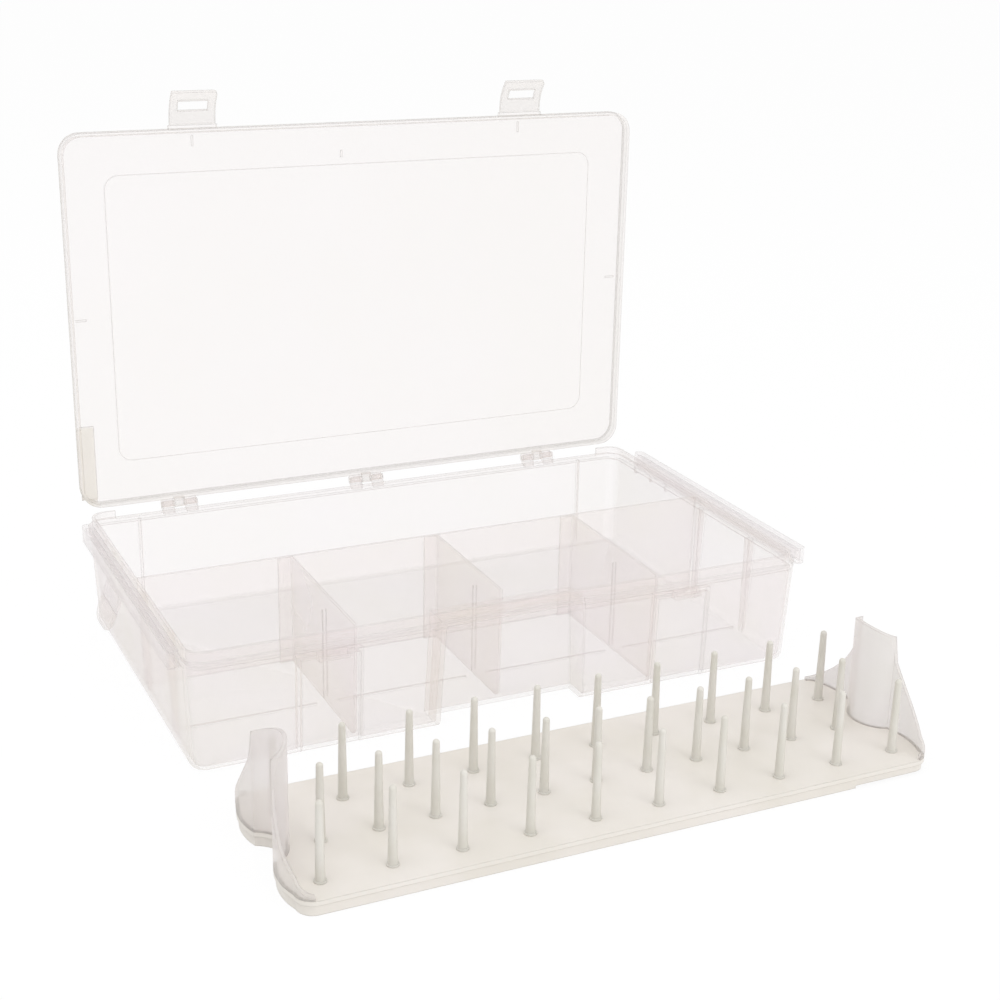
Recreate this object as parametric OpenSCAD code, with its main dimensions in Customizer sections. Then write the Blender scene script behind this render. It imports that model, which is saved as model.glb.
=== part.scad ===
// Embroidery thread box: a hinged, translucent storage box with loose dividers and a lift-out spool tray.
// It is drawn as it stands open: lid upright at the back, tray on the table in front.
// Origin at the middle of the tub's underside, X along the length, Y towards the hinges, Z up.

/* [Tub] */
// Length over the rim flange
box_l = 350; // [340:1:360]
// Depth over the rim flange
box_w = 214; // [210:1:220]
// Height of the rim flange above the table
rim_h = 60; // [56:1:66]
// Radius of the flange's corners
corner_r = 12; // [10:1:15]
// Thickness of the walls and floor
wall = 1.8; // [1.5:0.1:2.2]
// How far the rim flange stands out from the wall
flange_out = 1.2; // [1:0.1:1.4]
// Thickness of the rim flange
flange_t = 3; // [2:0.5:4]
// Height of the lip above the flange
lip_h = 5; // [4:0.5:5]
// How much the walls lean in at each side on their way down
draft = 2; // [1.5:0.1:2.4]
// Radius of the edge between the walls and the floor
edge_r = 5; // [4:0.5:6]
// Radius of the walls' upright corners
wall_r = 8; // [8:0.5:10]

/* [Recesses in the front] */
// Width of the finger recess at the top
recess_w = 78; // [70:1:84]
// Distance of the recess wall from the front of the flange
recess_d = 18; // [14:1:20]
// Width of the hollow below each latch
latch_recess_w = 31; // [29:0.5:32]
// Depth of the hollow below each latch
latch_recess_d = 3.5; // [3.4:0.1:3.8]
// Height at which that hollow begins
latch_recess_h = 52; // [50:0.5:52.5]

/* [Carrying rails] */
// Length of a rail
rail_l = 186; // [160:1:190]
// How far a rail stands out from the flange
rail_out = 6.4; // [5:0.1:8]
// Height of a rail
rail_h = 9; // [7:0.5:9]
// Distance of a rail's middle in front of the box's middle
rail_shift = 8; // [4:1:10]

/* [Side tab] */
// Width of the tab
tab_w = 30; // [24:1:36]
// Length of the tab below its hinge line
tab_l = 11; // [9:0.5:12]
// Lean of the tab away from the wall, in degrees
tab_lean = 23; // [15:1:30]

/* [Dividers] */
// Thickness of the dividers
divider_t = 1.6; // [1.2:0.1:2]
// Height of the dividers' top edge above the table
divider_h = 64.4; // [60:0.2:64.4]
// Distance between the cross dividers
divider_pitch = 86; // [80:1:88]
// Place of the second lengthwise slot, in front of the long divider
slot_d = 57; // [50:1:62]

/* [Lid] */
// Thickness of the lid's plate
lid_t = 1.6; // [1.4:0.1:2]
// Height of the closed lid, skirt and plate together
lid_h = 7.5; // [7:0.5:9]
// Width of the border around the stepped panel
panel_margin = 24.4; // [18:0.2:30]
// Opening angle in which the lid is drawn
lid_open = 90; // [0:5:90]

/* [Hinges] */
// Radius of the hinge pins
pin_r = 1.6; // [1.4:0.1:1.8]
// Distance between two hinges
hinge_pitch = 118; // [100:1:130]
// Width of one hinge, over both hooks
hinge_w = 21; // [18:1:24]

/* [Latches] */
// Distance of each latch from the middle
latch_x = 100.6; // [98:0.2:104]
// Width of a latch
latch_w = 26; // [24:0.5:27]
// Radius to which a latch plate is curved
latch_r = 24; // [22:1:28]
// Angle that the latch plate's curve covers
latch_arc = 48; // [44:1:50]
// Thickness of a latch plate
latch_t = 1.6; // [1.2:0.1:1.8]

/* [Spool tray] */
// Length of the tray between its end lobes
tray_l = 329; // [320:1:330]
// Width of the tray
tray_w = 100; // [94:1:100]
// Height of the tray's top face
tray_h = 7.6; // [6:0.2:9]
// Height of the end plates in their middle
end_h = 62.5; // [58:0.5:63]
// Distance of the tray's middle in front of the box's middle
tray_gap = 191.5; // [180:0.5:240]

/* [Spool pegs] */
// Height of a peg above the tray
peg_h = 39.5; // [30:0.5:42]
// Radius at the foot of a peg
peg_r = 2.3; // [2:0.1:2.6]
// Radius at the tip of a peg
peg_tip_r = 1.65; // [1.2:0.05:2]
// Pegs in the back and front rows
pegs_outer = 10; // [8:1:10]
// Pegs in the middle row
pegs_middle = 11; // [9:1:11]

/* [Hidden] */

clear_tint = [0.93, 0.92, 0.93, 0.5];
rail_tint = [0.88, 0.87, 0.86, 0.7];
lid_tint = [0.95, 0.94, 0.93, 0.45];
tray_tint = [0.91, 0.89, 0.86, 1];
peg_tint = [0.84, 0.83, 0.79, 1];
end_tint = [0.90, 0.89, 0.89, 0.85];

gap = 0.3;                                    // air between pieces that move past each other
cut = 1;                                      // how far a cutting shape runs past the face it opens
flange_z = rim_h - flange_t;
top_l = box_l / 2 - flange_out;               // half length and half depth of the walls at the flange
top_w = box_w / 2 - flange_out;
foot_l = top_l - draft;                       // and where the walls meet the bottom edge's rounding
foot_w = top_w - draft;
lean = draft / (flange_z - edge_r);           // lean of the walls per millimetre of height
lip_in = 2.2;                                 // the lip's outer face lies this far inside the flange's edge
lip_l = box_l / 2 - lip_in;
lip_w = box_w / 2 - lip_in;
lip_r = corner_r - lip_in;
smooth = 32;                                  // steps in a blended corner
round = 64;                                   // steps in a true circle

web_t = 2;                                    // roof of the finger recess
recess_flare = 2.5;                           // how much wider the recess is at the foot, at each side
recess_y = -box_w / 2 + recess_d;
recess_lean = 1;                              // the recess's back wall leans inwards by this much at the foot

rib_t = 1.2;                                  // ribs on the tub's inner faces
rib_proud = 1;
rib_slot = 2.4;                               // space between the two ribs of a wall slot
end_slot_ys = [-slot_d - 5, -8];
back_rib_x = 144;
rim_tick_ys = [35, 54, 73];                   // short ticks under the rim, on both end walls

lip_gap = 0.6;                                // extra room for the lid's rear skirt as it swings
lip_end = 17.4;                               // the lip stops this far from each end of the rear wall

tab_y = 8;                                    // middle of the side tab
tab_t = 1.6;
tab_top = [-box_l / 2 - rail_out + 0.9, flange_z];
bracket_l = 9;
tab_drop = bracket_l + 1.1;                   // from the rail to the tab's hinge line
tab_axis = [tab_top[0] - tab_drop * sin(tab_lean), tab_top[1] - tab_drop * cos(tab_lean)];

divider_air = 0.4;                            // air between a divider and the wall it ends at
foot_back = 8;                                // foot of a cross divider, along the long divider

hinge_y = box_w / 2 + 3.6;                    // the lid turns about this line
hinge_z = rim_h + 2.2;
bore_r = pin_r + 0.05;
hook_r = pin_r + 1.3;
hook_w = 7;
hook_mouth = 1.6 * pin_r;                     // narrower than the pin, so that it snaps in
web_w = hinge_w - 2 * hook_w - 2 * 0.5;       // web of a lid pin, between its two hooks

lid_z = rim_h + 0.2;                          // lower edge of the closed lid
lid_side = 1.8;                               // thickness of the lid's skirt
panel_step = 0.5;
panel_corner = 8;
pad = [9, 44, 0.7];                           // thicker patch in the lid's rear left corner
pad_back = 4;                                 // its distance from the lid's rear edge

latch_y = -box_w / 2 - 3.2;                   // hinge line of the latches, with the lid closed
latch_z = lid_z + 3.8;
strip_w = latch_w + 1.6;
window_w = 17;
window_low = 7;                               // the window, measured along the plate from the hinge line
window_high = 13;
catch_w = window_w - 0.8;
catch_low = latch_recess_h;
catch_high = 56.4;
catch_out = 3;                                // the catch stands out this far in front of the flange

tray_corner = 9;
end_t = 1.7;                                  // thickness of the end plates
groove_r = 15;                                // finger groove in the end plates
groove_half = 14;                             // half of its width at the end plate's face
groove_x = tray_l / 2 + sqrt(groove_r * groove_r - groove_half * groove_half);
lobe_reach = 2.5;                             // the end plates' wings bulge outwards by this much
lobe_half = (tray_w / 2 - tray_corner - groove_half) / 2;
lobe_r = (lobe_half * lobe_half + lobe_reach * lobe_reach) / (2 * lobe_reach);
lobe_y = groove_half + lobe_half;
tray_top_t = 2.4;

outer_reach = 150.5;                          // from the tray's middle to the last peg of a row
middle_reach = 139.3;
peg_rows = [27.3, -4.7, -35.7];               // the rows' places, back to front, from the tray's middle

function wall_y(z) = -(foot_w + lean * (z - edge_r));    // outer face of the front wall at a height

// A flat outline with rounded corners
module rounded_rect(l, w, r) {
    square([l - 2 * r, w], center = true);
    square([l, w - 2 * r], center = true);
    for (x = [-1, 1], y = [-1, 1])
        translate([x * (l / 2 - r), y * (w / 2 - r)]) circle(r, $fn = round);
}

// A shape drawn in Y and Z that runs along X, and one drawn in X and Z that runs along Y
module along_x(l) {
    rotate([90, 0, 90]) linear_extrude(l, center = true) children();
}
module along_y(w) {
    rotate([90, 0, 0]) linear_extrude(w, center = true) children();
}

// The tub's drafted body with its rounded bottom edge, drawn in by an inset at the sides and the floor
module tub_form(inset, top) {
    slab = 0.5;
    hull() {
        for (x = [-1, 1], y = [-1, 1]) {
            translate([x * (foot_l - wall_r), y * (foot_w - wall_r), edge_r])
                rotate_extrude($fn = smooth) intersection() {
                    translate([wall_r - edge_r, 0]) circle(edge_r - inset, $fn = smooth);
                    translate([0, -edge_r]) square([wall_r, 2 * edge_r]);
                }
            translate([x * (top_l - wall_r), y * (top_w - wall_r), top - slab])
                cylinder(r = wall_r - inset, h = slab, $fn = smooth);
        }
    }
}

// The space of the finger recess, enlarged by a wall where the inside of the tub goes round it
module finger_recess(grow, top) {
    intersection() {
        along_x(box_l)
            polygon([[-box_w, -cut], [recess_y + recess_lean + grow, -cut], [recess_y + grow, top],
                [-box_w, top]]);
        along_y(3 * box_w)
            polygon([[-recess_w / 2 - recess_flare - grow, -cut], [recess_w / 2 + recess_flare + grow, -cut],
                [recess_w / 2 + grow, top], [-recess_w / 2 - grow, top]]);
    }
}

// The shallow hollows below the latches, enlarged in the same way
module latch_recesses(grow) {
    face = latch_recess_d + grow;
    top = latch_recess_h + grow;
    for (x = [-latch_x, latch_x])
        translate([x, 0, 0]) along_x(latch_recess_w + 2 * grow)
            polygon([[-box_w, -cut], [wall_y(-cut) + face, -cut], [wall_y(top) + face, top], [-box_w, top]]);
}

// Low ribs inside the tub: wall slots for a second long divider, stiffeners at the back and a floor rib
module guide_ribs() {
    for (x = [-1, 1]) {
        for (y = end_slot_ys, side = [-1, 1])
            translate([x * foot_l - 4, y + side * (rib_slot + rib_t) / 2 - rib_t / 2, wall / 2])
                cube([8, rib_t, rim_h - wall]);
        translate([x * back_rib_x - rib_t / 2, foot_w - wall - rib_proud, wall / 2])
            cube([rib_t, 8, rim_h - wall]);
        for (y = rim_tick_ys)
            translate([x * (lip_l - wall) - rib_proud, y - rib_t / 2, rim_h - 4])
                cube([2 * rib_proud, rib_t, 4]);
    }
    for (x = [-1.5, -0.5, 0.5, 1.5])
        translate([x * divider_pitch - divider_pitch / 2 + 6, -slot_d - rib_t / 2, wall / 2])
            cube([divider_pitch - 12, rib_t, wall / 2 + rib_proud]);
}

module tub() {
    color(clear_tint) union() {
        difference() {
            union() {
                tub_form(0, flange_z + 0.5);
                translate([0, 0, flange_z]) linear_extrude(flange_t) rounded_rect(box_l, box_w, corner_r);
                tub_lip();
            }
            difference() {
                union() {
                    tub_form(wall, flange_z);
                    translate([0, 0, flange_z - 0.1]) linear_extrude(rim_h + lip_h)
                        rounded_rect(2 * (lip_l - wall), 2 * (lip_w - wall), lip_r - wall);
                }
                finger_recess(wall, rim_h);
                latch_recesses(wall);
            }
            finger_recess(0, rim_h - web_t);
            latch_recesses(0);
        }
        intersection() {
            guide_ribs();
            tub_form(wall / 2, rim_h - 0.4);
        }
    }
}

// The lip stands just inside the lid's skirt. It is left out along the hinges.
module tub_lip() {
    difference() {
        translate([0, 0, rim_h - 1]) linear_extrude(lip_h + 1)
            rounded_rect(2 * lip_l, 2 * lip_w, lip_r);
        translate([-box_l / 2 + lip_end, 0, rim_h]) cube([box_l - 2 * lip_end, box_w, lip_h + cut]);
        translate([-box_l, lip_w - lip_gap, rim_h]) cube([2 * box_l, box_w, lip_h + cut]);
    }
}

// A carrying rail: an upside-down channel with rounded ends along one short side
module side_rail(side) {
    skin = 1.8;
    color(rail_tint) translate([side * (box_l / 2 + rail_out / 2), -rail_shift, flange_z]) difference() {
        linear_extrude(rail_h) rail_outline(0);
        translate([0, 0, -cut]) linear_extrude(rail_h - skin + cut) rail_outline(skin);
        // room beside the closed lid
        translate([-side * rail_out / 2 - gap, -rail_l / 2 - cut, flange_t])
            cube([2 * gap, rail_l + 2 * cut, rail_h]);
    }
}
module rail_outline(inset) {
    rounded_rect(rail_out - 2 * inset, rail_l - 2 * inset, rail_out / 2 - inset - 0.1);
}

// A strip that comes down from the rail at the tab's angle
module side_tab_bracket() {
    color(clear_tint) difference() {
        translate([tab_top[0], tab_y, tab_top[1]]) rotate([0, tab_lean, 0])
            translate([-tab_t / 2, -tab_w / 2, -bracket_l]) cube([tab_t, tab_w, bracket_l + 2]);
        translate([-box_l, -box_w, flange_z]) cube([box_l, 2 * box_w, rail_h]);
    }
}

// The D-shaped tab with its rolled root on the hinge line
module side_tab() {
    bend = 9;
    color(clear_tint) translate([tab_axis[0], tab_y, tab_axis[1]]) rotate([0, tab_lean, 0]) {
        rotate([90, 0, 0]) cylinder(r = tab_t / 2, h = tab_w - 1, center = true, $fn = round);
        rotate([0, 90, 0]) linear_extrude(tab_t, center = true) {
            translate([0, -tab_w / 2 + 0.5]) square([tab_l - bend, tab_w - 1]);
            translate([0, -tab_w / 2 + bend]) square([tab_l, tab_w - 2 * bend]);
            for (side = [-1, 1])
                intersection() {
                    translate([tab_l - bend, side * (tab_w / 2 - bend)]) circle(bend, $fn = round);
                    translate([0, -tab_w / 2 + 0.5]) square([tab_l, tab_w - 1]);
                }
        }
    }
}

// One pair of open hooks on the rear edge of the flange
module hinge_hooks(x) {
    color(clear_tint) translate([x, 0, 0])
        for (side = [-1, 1])
            translate([side * (hinge_w - hook_w) / 2, 0, 0]) difference() {
                union() {
                    translate([0, hinge_y, hinge_z]) rotate([0, 90, 0])
                        cylinder(r = hook_r, h = hook_w, center = true, $fn = round);
                    along_x(hook_w) polygon([[box_w / 2, flange_z + 0.4], [box_w / 2 + 1.5, flange_z + 0.4],
                        [hinge_y + 2, hinge_z - 2], [hinge_y - 1, hinge_z - 1.2], [box_w / 2, rim_h]]);
                }
                translate([0, hinge_y, hinge_z]) rotate([0, 90, 0])
                    cylinder(r = bore_r, h = hook_w + 2, center = true, $fn = round);
                translate([-hook_w / 2 - cut, hinge_y - hook_mouth / 2, hinge_z])
                    cube([hook_w + 2 * cut, hook_mouth, hook_r + cut]);
            }
}

// A lug on the front wall with a sloping top, which fills the latch's window
module latch_catch(x) {
    front = -box_w / 2 - catch_out;
    color(clear_tint) difference() {
        translate([x, 0, 0]) along_x(catch_w)
            polygon([[wall_y(0) + 4, catch_low], [front, catch_low], [front, catch_low + 1.6],
                [-box_w / 2 - 0.4, catch_high], [wall_y(0) + 4, catch_high]]);
        tub_form(0, flange_z + 0.5);
    }
}

// Outline of a divider's drafted end: top corner, lean of the wall and the cut for the floor's rounding
function divider_end(top_y, foot_y) = [
    [top_y, divider_h],
    [top_y, flange_z],
    [foot_y, edge_r],
    [foot_y - 2, edge_r / 2],
    [foot_y - edge_r + wall, wall + gap]
];

module long_divider() {
    right = divider_end(lip_l - wall - divider_air, foot_l - wall - divider_air);
    left = [for (i = [len(right) - 1:-1:0]) [-right[i][0], right[i][1]]];
    color(clear_tint) along_y(divider_t) polygon(concat(right, left));
}

// A cross divider runs from the long divider to the front wall. Its foot at the back lies along the long
// divider, and a rib on each face marks the second slot.
module cross_divider(x, reach_top, reach_foot) {
    back = -divider_t / 2 - gap;
    front = divider_end(reach_top, reach_foot);
    outline = concat([[back, wall + gap], [back, divider_h]], [for (p = front) [-p[0], p[1]]]);
    color(clear_tint) translate([x, 0, 0]) {
        along_x(divider_t) polygon(outline);
        translate([-foot_back, back - rib_t, wall + gap]) cube([foot_back, rib_t, divider_h - wall - gap]);
        for (side = [-1, 1])
            translate([side * divider_t / 2 - 0.5, -slot_d + 3, wall + gap + 1.5])
                cube([1, 1, divider_h - 14]);
    }
}

// The outer cross dividers end at the hollows below the latches, the middle one at the finger recess
module cross_divider_outer(x) {
    inset = wall + latch_recess_d + divider_air;
    cross_divider(x, top_w - inset, foot_w - inset);
}
module cross_divider_middle() {
    reach = -recess_y - wall - divider_air;
    cross_divider(0, reach, reach - recess_lean);
}

// Turns what is drawn in the closed lid's place to the lid's opening angle
module opened() {
    translate([0, hinge_y, hinge_z]) rotate([-lid_open, 0, 0]) translate([0, -hinge_y, -hinge_z]) children();
}

module lid_plate(inset, low, high) {
    translate([0, 0, low]) linear_extrude(high - low)
        rounded_rect(box_l - 2 * inset, box_w - 2 * inset, corner_r - inset);
}

// The lid: skirt, plate with a stepped panel, latch strips, a pad in one corner and small mould marks
module lid() {
    top = lid_z + lid_h;
    inner = top - lid_t;
    color(lid_tint) opened() {
        difference() {
            union() {
                lid_plate(0, lid_z, top - 0.8);
                lid_plate(0.4, top - 0.8, top - 0.4);
                lid_plate(0.9, top - 0.4, top);
                for (x = [-latch_x, latch_x])
                    translate([x - strip_w / 2, latch_y + latch_t / 2 + gap, latch_z - 1])
                        cube([strip_w, 3.2, 2]);
            }
            lid_plate(lid_side, lid_z - cut, inner);
            translate([0, 0, top - panel_step]) linear_extrude(panel_step + cut)
                rounded_rect(box_l - 2 * panel_margin, box_w - 2 * panel_margin, panel_corner);
        }
        translate([-box_l / 2 + 1, box_w / 2 - pad_back - pad[1], inner - pad[2]])
            cube([pad[0], pad[1], pad[2] + 0.1]);
        lid_marks(inner);
    }
}
// Ticks on the plate's inner face: one behind each latch, one at each end and one near the front edge
module lid_marks(z) {
    tick = [1, 6, 0.5];
    for (x = [-latch_x, latch_x])
        translate([x - tick[0] / 2, -box_w / 2 + 4, z - tick[2]]) cube([tick[0], tick[1], tick[2] + 0.1]);
    for (x = [-1, 1])
        translate([x * (box_l / 2 - 7) - tick[1] / 2, -3.5, z - tick[2]])
            cube([tick[1], tick[0], tick[2] + 0.1]);
    translate([-13, -box_w / 2 + 16, z - tick[2]]) cube([tick[0], 4, tick[2] + 0.1]);
}

// A pin carried by a web on the lid's rear skirt
module hinge_pin(x) {
    reach = 1.4;
    color(lid_tint) opened() translate([x, 0, 0]) {
        translate([0, hinge_y, hinge_z]) rotate([0, 90, 0]) {
            cylinder(r = pin_r, h = hinge_w, center = true, $fn = round);
            cylinder(r = pin_r + 0.7, h = web_w, center = true, $fn = round);
        }
        translate([-web_w / 2, box_w / 2, hinge_z - reach]) cube([web_w, hinge_y - box_w / 2, 2 * reach]);
    }
}

// A latch plate: an arc of a thin tube with rounded free corners and a window, rolled round its hinge line
module latch(x) {
    blank = 2 * latch_r;
    window_middle = (window_low + window_high) / 2 / latch_r * 180 / PI;
    color(lid_tint) opened() translate([x, latch_y, latch_z]) rotate([90, 0, -90]) {
        cylinder(r = latch_t / 2, h = latch_w, center = true, $fn = round);
        translate([0, -latch_r, 0]) difference() {
            intersection() {
                difference() {
                    cylinder(r = latch_r + latch_t / 2, h = latch_w, center = true, $fn = 2 * round);
                    cylinder(r = latch_r - latch_t / 2, h = latch_w + 2, center = true, $fn = 2 * round);
                }
                linear_extrude(latch_w + 2, center = true)
                    polygon([[0, 0], [0, blank], [blank * sin(latch_arc), blank * cos(latch_arc)]]);
            }
            rotate([0, 0, -window_middle]) translate([0, latch_r, 0])
                cube([window_high - window_low, 4 * latch_t, window_w], center = true);
            for (side = [-1, 1])
                rotate([0, 0, -latch_arc]) latch_corner_cut(side);
        }
    }
}
// What is cut off a free corner of the plate to round it
module latch_corner_cut(side) {
    corner = 3;
    translate([-corner, latch_r, side * (latch_w / 2 - corner)]) difference() {
        translate([(corner + cut) / 2, 0, side * (corner + cut) / 2])
            cube([corner + cut, 4 * latch_t, corner + cut], center = true);
        rotate([90, 0, 0]) cylinder(r = corner, h = 6 * latch_t, center = true, $fn = round);
    }
}

// Flat outline of the tray: a rounded rectangle with a bulge beside each finger groove
module tray_outline(inset) {
    difference() {
        union() {
            rounded_rect(tray_l - 2 * inset, tray_w - 2 * inset, tray_corner - inset);
            for (x = [-1, 1], y = [-1, 1])
                intersection() {
                    translate([x * (tray_l / 2 + lobe_reach - lobe_r), y * lobe_y])
                        circle(lobe_r - inset, $fn = 2 * round);
                    translate([x * tray_l / 2, y * lobe_y])
                        square([8 * lobe_reach, 2 * lobe_half], center = true);
                }
        }
        for (x = [-1, 1])
            translate([x * groove_x, 0]) circle(groove_r + inset, $fn = round);
    }
}

module tray_plate() {
    skirt_in = 1;
    step_x = 120;
    step_h = 1.4;
    color(tray_tint) translate([0, -tray_gap, 0]) {
        translate([0, 0, tray_h - tray_top_t]) linear_extrude(tray_top_t) tray_outline(0);
        difference() {
            linear_extrude(tray_h - tray_top_t + 0.1) difference() {
                tray_outline(skirt_in);
                tray_outline(skirt_in + wall);
            }
            // the lower edge is set back near the right end
            translate([step_x, -tray_w, -cut]) cube([tray_l, 2 * tray_w, step_h + cut]);
        }
    }
}

// A row of tapered pegs, each with a small collar and a round tip
module peg_row(count, reach, y) {
    pitch = 2 * reach / (count - 1);
    collar_r = 3;
    collar_h = 0.8;
    color(peg_tint) translate([0, y - tray_gap, tray_h])
        for (i = [0:count - 1])
            translate([-reach + i * pitch, 0, 0]) {
                cylinder(r = collar_r, h = collar_h, $fn = smooth);
                cylinder(r1 = peg_r, r2 = peg_tip_r, h = peg_h - peg_tip_r, $fn = smooth);
                translate([0, 0, peg_h - peg_tip_r]) sphere(peg_tip_r, $fn = smooth);
            }
}

// Front view of an end plate: flared feet, straight sides and a crowned top
module end_outline() {
    flare_r = 88;
    flare_y = 94.4;
    flare_z = 85;
    neck = 45;
    side_top = 58.5;
    shoulder = 16;
    crown = 4;
    crown_r = (groove_half * groove_half + crown * crown) / (2 * crown);
    difference() {
        translate([-tray_w, 0]) square([2 * tray_w, neck]);
        for (side = [-1, 1]) {
            translate([side * flare_y, flare_z]) circle(flare_r, $fn = 3 * round);
            translate([side * (flare_y + tray_w / 2), 0]) square([tray_w, 3 * neck], center = true);
        }
    }
    polygon([[-shoulder, neck - 0.1], [shoulder, neck - 0.1], [groove_half, side_top],
        [-groove_half, side_top]]);
    intersection() {
        translate([0, end_h - crown_r]) circle(crown_r, $fn = 2 * round);
        translate([-groove_half, neck]) square([2 * groove_half, end_h]);
    }
}

// An end plate: the tray's outline as a thin wall, curved inwards round the finger groove
module tray_end(side) {
    color(end_tint) translate([0, -tray_gap, 0]) intersection() {
        translate([0, 0, tray_h]) linear_extrude(end_h) intersection() {
            difference() {
                tray_outline(0);
                tray_outline(end_t);
            }
            translate([side * tray_l / 2, 0]) {
                square([2 * groove_r, 3 * groove_half], center = true);
                square([2 * tray_corner - 4, 2 * tray_w], center = true);
            }
        }
        along_x(2 * tray_l) end_outline();
    }
}

tub();
side_rail(-1);  // side_rail_left
side_rail(1);  // side_rail_right
side_tab_bracket();
side_tab();
hinge_hooks(-hinge_pitch);  // hinge_hooks_left
hinge_hooks(0);  // hinge_hooks_middle
hinge_hooks(hinge_pitch);  // hinge_hooks_right
latch_catch(-latch_x);  // latch_catch_left
latch_catch(latch_x);  // latch_catch_right
long_divider();
cross_divider_outer(-divider_pitch);  // cross_divider_left
cross_divider_middle();
cross_divider_outer(divider_pitch);  // cross_divider_right
lid();
hinge_pin(-hinge_pitch);  // hinge_pin_left
hinge_pin(0);  // hinge_pin_middle
hinge_pin(hinge_pitch);  // hinge_pin_right
latch(-latch_x);  // latch_left
latch(latch_x);  // latch_right
tray_plate();
peg_row(pegs_outer, outer_reach, peg_rows[0]);  // peg_row_back
peg_row(pegs_middle, middle_reach, peg_rows[1]);  // peg_row_middle
peg_row(pegs_outer, outer_reach, peg_rows[2]);  // peg_row_front
tray_end(-1);  // tray_end_left
tray_end(1);  // tray_end_right
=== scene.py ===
import bpy
import math
from mathutils import Matrix, Vector

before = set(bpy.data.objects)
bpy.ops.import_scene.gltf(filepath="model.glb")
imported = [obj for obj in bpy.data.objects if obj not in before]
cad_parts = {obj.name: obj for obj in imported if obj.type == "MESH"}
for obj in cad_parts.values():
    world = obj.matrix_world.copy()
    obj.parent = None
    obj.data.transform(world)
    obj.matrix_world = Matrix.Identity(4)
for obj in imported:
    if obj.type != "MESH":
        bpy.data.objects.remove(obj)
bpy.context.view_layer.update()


def srgb(code):
    """Linear colour of an sRGB hex code."""
    channels = [int(code[i:i + 2], 16) / 255 for i in (0, 2, 4)]
    return tuple(c / 12.92 if c <= 0.04045 else ((c + 0.055) / 1.055) ** 2.4 for c in channels) + (1,)


def add(mat, kind, inputs=(), **settings):
    """Adds a shader node: its inputs are constants or other nodes' outputs, by socket name or number."""
    item = mat.node_tree.nodes.new(kind)
    for name, value in settings.items():
        setattr(item, name, value)
    for name, value in dict(inputs).items():
        if isinstance(value, bpy.types.NodeSocket):
            mat.node_tree.links.new(value, item.inputs[name])
        else:
            item.inputs[name].default_value = value
    return item


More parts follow.
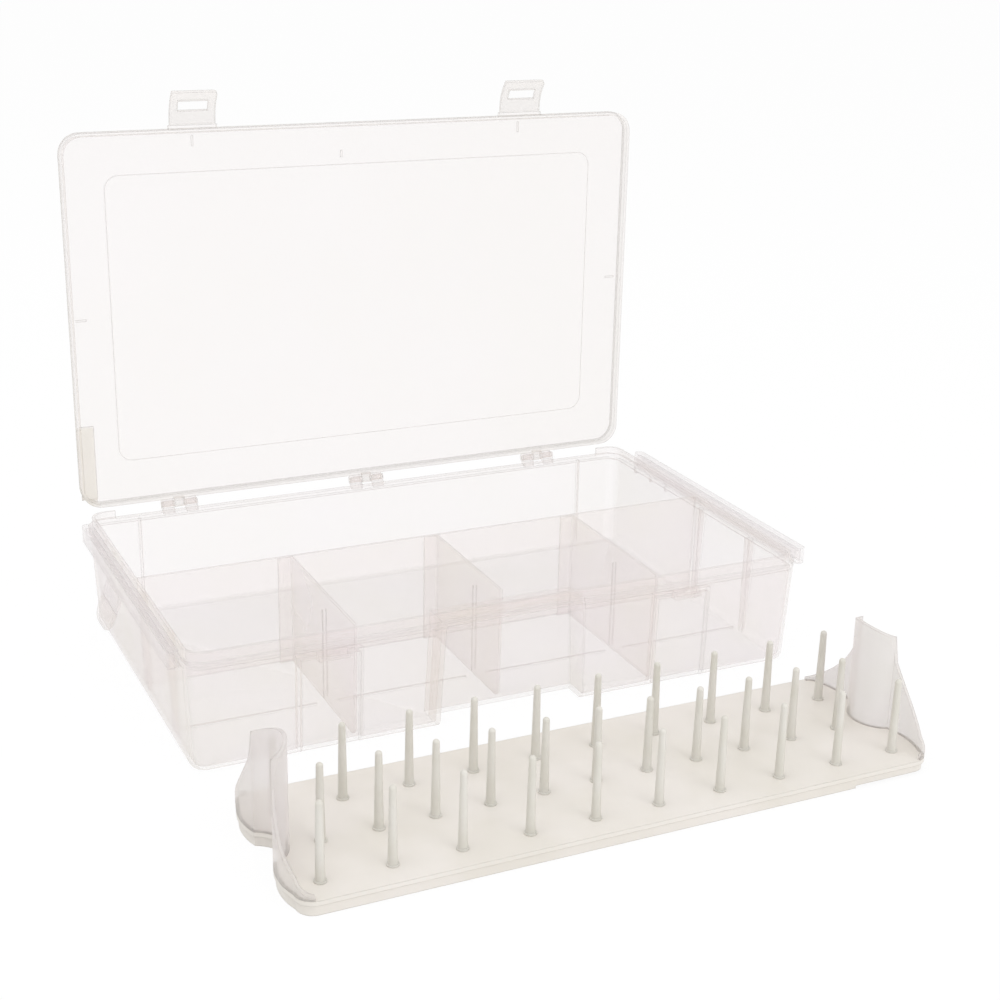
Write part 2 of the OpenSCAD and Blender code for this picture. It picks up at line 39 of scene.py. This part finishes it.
# Polypropylene, as injection moulded: a milky, see-through plastic. Its surface scatters part of the light back
# and lets the rest through. Edges and faces seen at a glancing angle look denser, because light stays longer in them.
# colour and deep are the two ends of its slow colour drift, clear is the share of light that passes one surface.
# painted_edge_shade is painted light: a colour mixed in along every edge in place of the lines that light draws there.
# It is darker than the face on most parts (painted shade) and a little lighter on the pegs (painted highlight).
def polypropylene(name, colour, deep, painted_edge_shade, clear, roughness, drift_mm=55, grain_mm=1.2, grain_depth=0.02,
                  edge_mm=0.7, shade_box=None):
    mat = bpy.data.materials.new(name)
    mat.use_nodes = True
    mat.node_tree.nodes.clear()
    place = add(mat, "ShaderNodeTexCoord").outputs["Object"]
    drift = add(mat, "ShaderNodeTexNoise", {"Vector": place, "Scale": 1000 / drift_mm, "Detail": 3})
    shade = add(mat, "ShaderNodeValToRGB", {"Fac": drift.outputs["Fac"]})
    shade.color_ramp.elements[0].position = 0.4
    shade.color_ramp.elements[0].color = srgb(deep)
    shade.color_ramp.elements[1].position = 0.6
    shade.color_ramp.elements[1].color = srgb(colour)
    grain = add(mat, "ShaderNodeTexNoise", {"Vector": place, "Scale": 1000 / grain_mm, "Detail": 2})
    # where the rounded edge's normal leaves the face's own, the surface is close to an edge
    rounded = add(mat, "ShaderNodeBevel", {"Radius": edge_mm / 1000}, samples=4)
    face = add(mat, "ShaderNodeNewGeometry").outputs["Normal"]
    along = add(mat, "ShaderNodeVectorMath", {0: rounded.outputs[0], 1: face}, operation="DOT_PRODUCT")
    edge = add(mat, "ShaderNodeMapRange", {"Value": along.outputs["Value"], "From Min": 0.995, "From Max": 0.85})
    bump = add(mat, "ShaderNodeBump", {"Height": grain.outputs["Fac"], "Strength": 0.5,
                                       "Distance": grain_depth / 1000, "Normal": rounded.outputs[0]})
    # painted shade along the edges: near an edge the colour is mixed towards the painted edge colour
    edge_shaded_tint = add(mat, "ShaderNodeMix", {"Factor": edge.outputs[0], 6: shade.outputs["Color"], 7: srgb(painted_edge_shade)},
               data_type="RGBA")
    # the milk: light scattered back at the camera, and light from behind that is scattered forwards
    body = add(mat, "ShaderNodeBsdfPrincipled", {
        "Base Color": edge_shaded_tint.outputs[2], "Roughness": roughness, "IOR": 1.49, "Specular IOR Level": 0.4,
        "Normal": bump.outputs["Normal"]})
    back = add(mat, "ShaderNodeBsdfTranslucent", {"Color": edge_shaded_tint.outputs[2], "Normal": bump.outputs["Normal"]})
    milk = add(mat, "ShaderNodeMixShader", {0: 0.45 * min(1, clear * 3), 1: body.outputs[0], 2: back.outputs[0]})
    # the clear share falls towards glancing angles and edges
    window = add(mat, "ShaderNodeBsdfTransparent", {"Color": srgb("FFFEFE")})
    slant = add(mat, "ShaderNodeLayerWeight", {"Blend": 0.3})
    share = add(mat, "ShaderNodeMapRange", {"Value": slant.outputs["Facing"], "To Min": clear, "To Max": clear * 0.58})
    thin = add(mat, "ShaderNodeMapRange", {"Value": edge.outputs[0], "To Min": 1, "To Max": 0.58})
    clearness = add(mat, "ShaderNodeMath", {0: share.outputs[0], 1: thin.outputs[0]}, operation="MULTIPLY")
    if shade_box:
        # painted shade: inside a box between two corners in metres the clear share drops, so the plastic shows darker
        # there
        axes = add(mat, "ShaderNodeSeparateXYZ", {0: place})
        within = None
        for axis, (low, high) in enumerate(zip(*shade_box)):
            middle, half = (low + high) / 2, (high - low) / 2
            inside = add(mat, "ShaderNodeMath", {0: axes.outputs[axis], 1: middle, 2: half}, operation="COMPARE")
            if within:
                inside = add(mat, "ShaderNodeMath", {0: inside.outputs[0], 1: within}, operation="MULTIPLY")
            within = inside.outputs[0]
        shade_in_box = add(mat, "ShaderNodeMapRange", {"Value": within, "To Min": 1, "To Max": 0.55})
        clearness = add(mat, "ShaderNodeMath", {0: clearness.outputs[0], 1: shade_in_box.outputs[0]}, operation="MULTIPLY")
    mix = add(mat, "ShaderNodeMixShader", {0: clearness.outputs[0], 1: milk.outputs[0], 2: window.outputs[0]})
    add(mat, "ShaderNodeOutputMaterial", {"Surface": mix.outputs[0]})
    return mat


def dress(mat, *names):
    """Gives a material to nodes of the CAD, in place of the plain one that they come with."""
    for name in names:
        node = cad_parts[name]
        node.data.materials.clear()
        node.data.materials.append(mat)


# Tub: drafted walls with a flange and a lip, moulded in one shot with its hinge hooks, catches and D-shaped tab.
# Polypropylene from a satin mould. It is clear enough to show the compartments behind the front wall.
satin_clear = polypropylene("polypropylene, satin clear", "F8F4F4", "F6F3EC", "E4DFDE", clear=0.938, roughness=0.3)
dress(satin_clear, "tub", "hinge_hooks_left", "hinge_hooks_middle", "hinge_hooks_right", "latch_catch_left",
      "latch_catch_right", "side_tab")

# Carrying rails: upside-down channels at both ends of the tub, in the same shot, with the strip that holds the tab.
# Polypropylene from a spark-textured part of the mould, for grip: its grain is coarse, deep and matt.
textured = polypropylene("polypropylene, spark textured", "F7F6F6", "F1EFEF", "EBE9E9", clear=0.965, roughness=0.55,
                         drift_mm=2.2, grain_mm=0.7, grain_depth=0.08)
dress(textured, "side_rail_left", "side_rail_right", "side_tab_bracket")

# Dividers: loose plates, one along the tub and three across its front half, that stand between ribs on the walls.
# Polypropylene from a satin mould, a little rougher than the tub.
divider_clear = polypropylene("polypropylene, divider satin", "F8F4F4", "F6F3EC", "E2DDDC", clear=0.94, roughness=0.35)
dress(divider_clear, "long_divider", "cross_divider_left", "cross_divider_middle", "cross_divider_right")

# Lid: one moulding with its skirt and stepped panel. Polypropylene from a polished mould, the clearest piece.
# Painted shade: in the corner beside the left hinge the lid is made less clear, so it shows as a darker strip there.
hinge_corner_shade_box = ((-0.1745, 0.1, 0.067), (-0.165, 0.12, 0.113))
polished = polypropylene("polypropylene, polished clear", "F9F5F1", "F6F2EA", "CAC5BF", clear=0.925, roughness=0.2,
                         drift_mm=80, shade_box=hinge_corner_shade_box)
dress(polished, "lid")

# Hinge pins on the lid's back edge, snapped into the tub's hooks, and latches that hang on thin lines at its front.
# Polypropylene from a satin mould. Small and thick for their size, they look denser than the lid.
pin_satin = polypropylene("polypropylene, pin satin", "F3F0EC", "EFECE7", "D0CBC6", clear=0.78, roughness=0.3)
dress(pin_satin, "hinge_pin_left", "hinge_pin_middle", "hinge_pin_right", "latch_left", "latch_right")

# Spool tray: a plate with a skirt that carries three rows of tapered pegs and an upright plate at each end.
# Natural polypropylene, nearly opaque and a little warmer than the tub. Only the end plates let light through.
natural = polypropylene("polypropylene, natural satin", "EBE6E0", "E6E1D9", "DBD7CD", clear=0.04, roughness=0.4)
dress(natural, "tray_plate")
# The pegs' edge colour is a little lighter than their own: a painted highlight along their edges.
peg_satin = polypropylene("polypropylene, peg satin", "E2DFD8", "DDDAD1", "E4E1DA", clear=0.06, roughness=0.4,
                          drift_mm=20, edge_mm=0.4)
dress(peg_satin, "peg_row_back", "peg_row_middle", "peg_row_front")
end_satin = polypropylene("polypropylene, end plate satin", "F1EDEC", "EDEAE6", "DFDAD6", clear=0.52, roughness=0.4)
dress(end_satin, "tray_end_left", "tray_end_right")


# Camera: the photograph's place and angle. Its focal length is 1719.3 pixels of the 1000 that the picture is wide.
camera_data = bpy.data.cameras.new("camera")
camera_data.sensor_width = 36
camera_data.lens = 1719.3 / 1000 * camera_data.sensor_width
camera_data.clip_end = 20
camera = bpy.data.objects.new("camera", camera_data)
yaw, pitch, roll = (math.radians(a) for a in (25.551, 19.823, -1.242))
ahead = Vector((math.sin(yaw) * math.cos(pitch), math.cos(yaw) * math.cos(pitch), -math.sin(pitch)))
level = Vector((math.cos(yaw), -math.sin(yaw), 0))
down = ahead.cross(level)
right = math.cos(roll) * level + math.sin(roll) * down
below = -math.sin(roll) * level + math.cos(roll) * down
turn = Matrix((right, -below, -ahead)).transposed().to_4x4()
camera.matrix_world = Matrix.Translation((-0.35906, -0.83384, 0.41278)) @ turn
bpy.context.scene.collection.objects.link(camera)
bpy.context.scene.camera = camera


def seen(mat):
    """1 for rays that show the thing itself: straight from the camera, or by a reflection or through plastic."""
    path = add(mat, "ShaderNodeLightPath").outputs
    direct = add(mat, "ShaderNodeMath", {0: path["Is Camera Ray"], 1: path["Is Glossy Ray"]}, operation="MAXIMUM")
    both = add(mat, "ShaderNodeMath", {0: direct.outputs[0], 1: path["Is Transmission Ray"]}, operation="MAXIMUM")
    return both.outputs[0]


# Floor: a large sheet of matte white paper. It is seen almost white, and keeps the box's faint shadow.
half = 6
floor_mesh = bpy.data.meshes.new("floor")
floor_mesh.from_pydata([(-half, -half, 0), (half, -half, 0), (half, half, 0), (-half, half, 0)], [], [(0, 1, 2, 3)])
floor = bpy.data.objects.new("floor", floor_mesh)
bpy.context.scene.collection.objects.link(floor)
paper = bpy.data.materials.new("paper, matte white")
paper.use_nodes = True
paper.node_tree.nodes.clear()
matte = add(paper, "ShaderNodeBsdfDiffuse", {"Color": srgb("FBFBFB")})
white = add(paper, "ShaderNodeEmission", {"Color": srgb("FFFFFF"), "Strength": 1})
lift = add(paper, "ShaderNodeMath", {0: seen(paper), 1: 0.92}, operation="MULTIPLY")
sheet = add(paper, "ShaderNodeMixShader", {0: lift.outputs[0], 1: matte.outputs[0], 2: white.outputs[0]})
add(paper, "ShaderNodeOutputMaterial", {"Surface": sheet.outputs[0]})
floor_mesh.materials.append(paper)

# Light: a pale room, white where it is seen, and two large soft boxes.
world = bpy.data.worlds.new("room")
world.use_nodes = True
world.node_tree.nodes.clear()
room = add(world, "ShaderNodeBackground", {"Color": srgb("FFFFFF"), "Strength": 0.82})
white = add(world, "ShaderNodeBackground", {"Color": srgb("FFFFFF"), "Strength": 1})
sky = add(world, "ShaderNodeMixShader", {0: seen(world), 1: room.outputs[0], 2: white.outputs[0]})
add(world, "ShaderNodeOutputWorld", {"Surface": sky.outputs[0]})
bpy.context.scene.world = world
for name, place, size, power in (
        ("soft box over the table", (-0.5, -0.3, 1.9), 1.6, 11), ("soft box from the front", (0.7, -1.7, 0.8), 1.2, 8)):
    lamp = bpy.data.lights.new(name, "AREA")
    lamp.size = size
    lamp.energy = power
    holder = bpy.data.objects.new(name, lamp)
    holder.location = place
    holder.rotation_euler = (Vector((0, 0, 0.05)) - holder.location).to_track_quat("-Z", "Y").to_euler()
    bpy.context.scene.collection.objects.link(holder)

bpy.context.scene.view_settings.view_transform = "Standard"
# Light passes through up to sixteen walls of the box, two surfaces each.
bpy.context.scene.cycles.transparent_max_bounces = 32
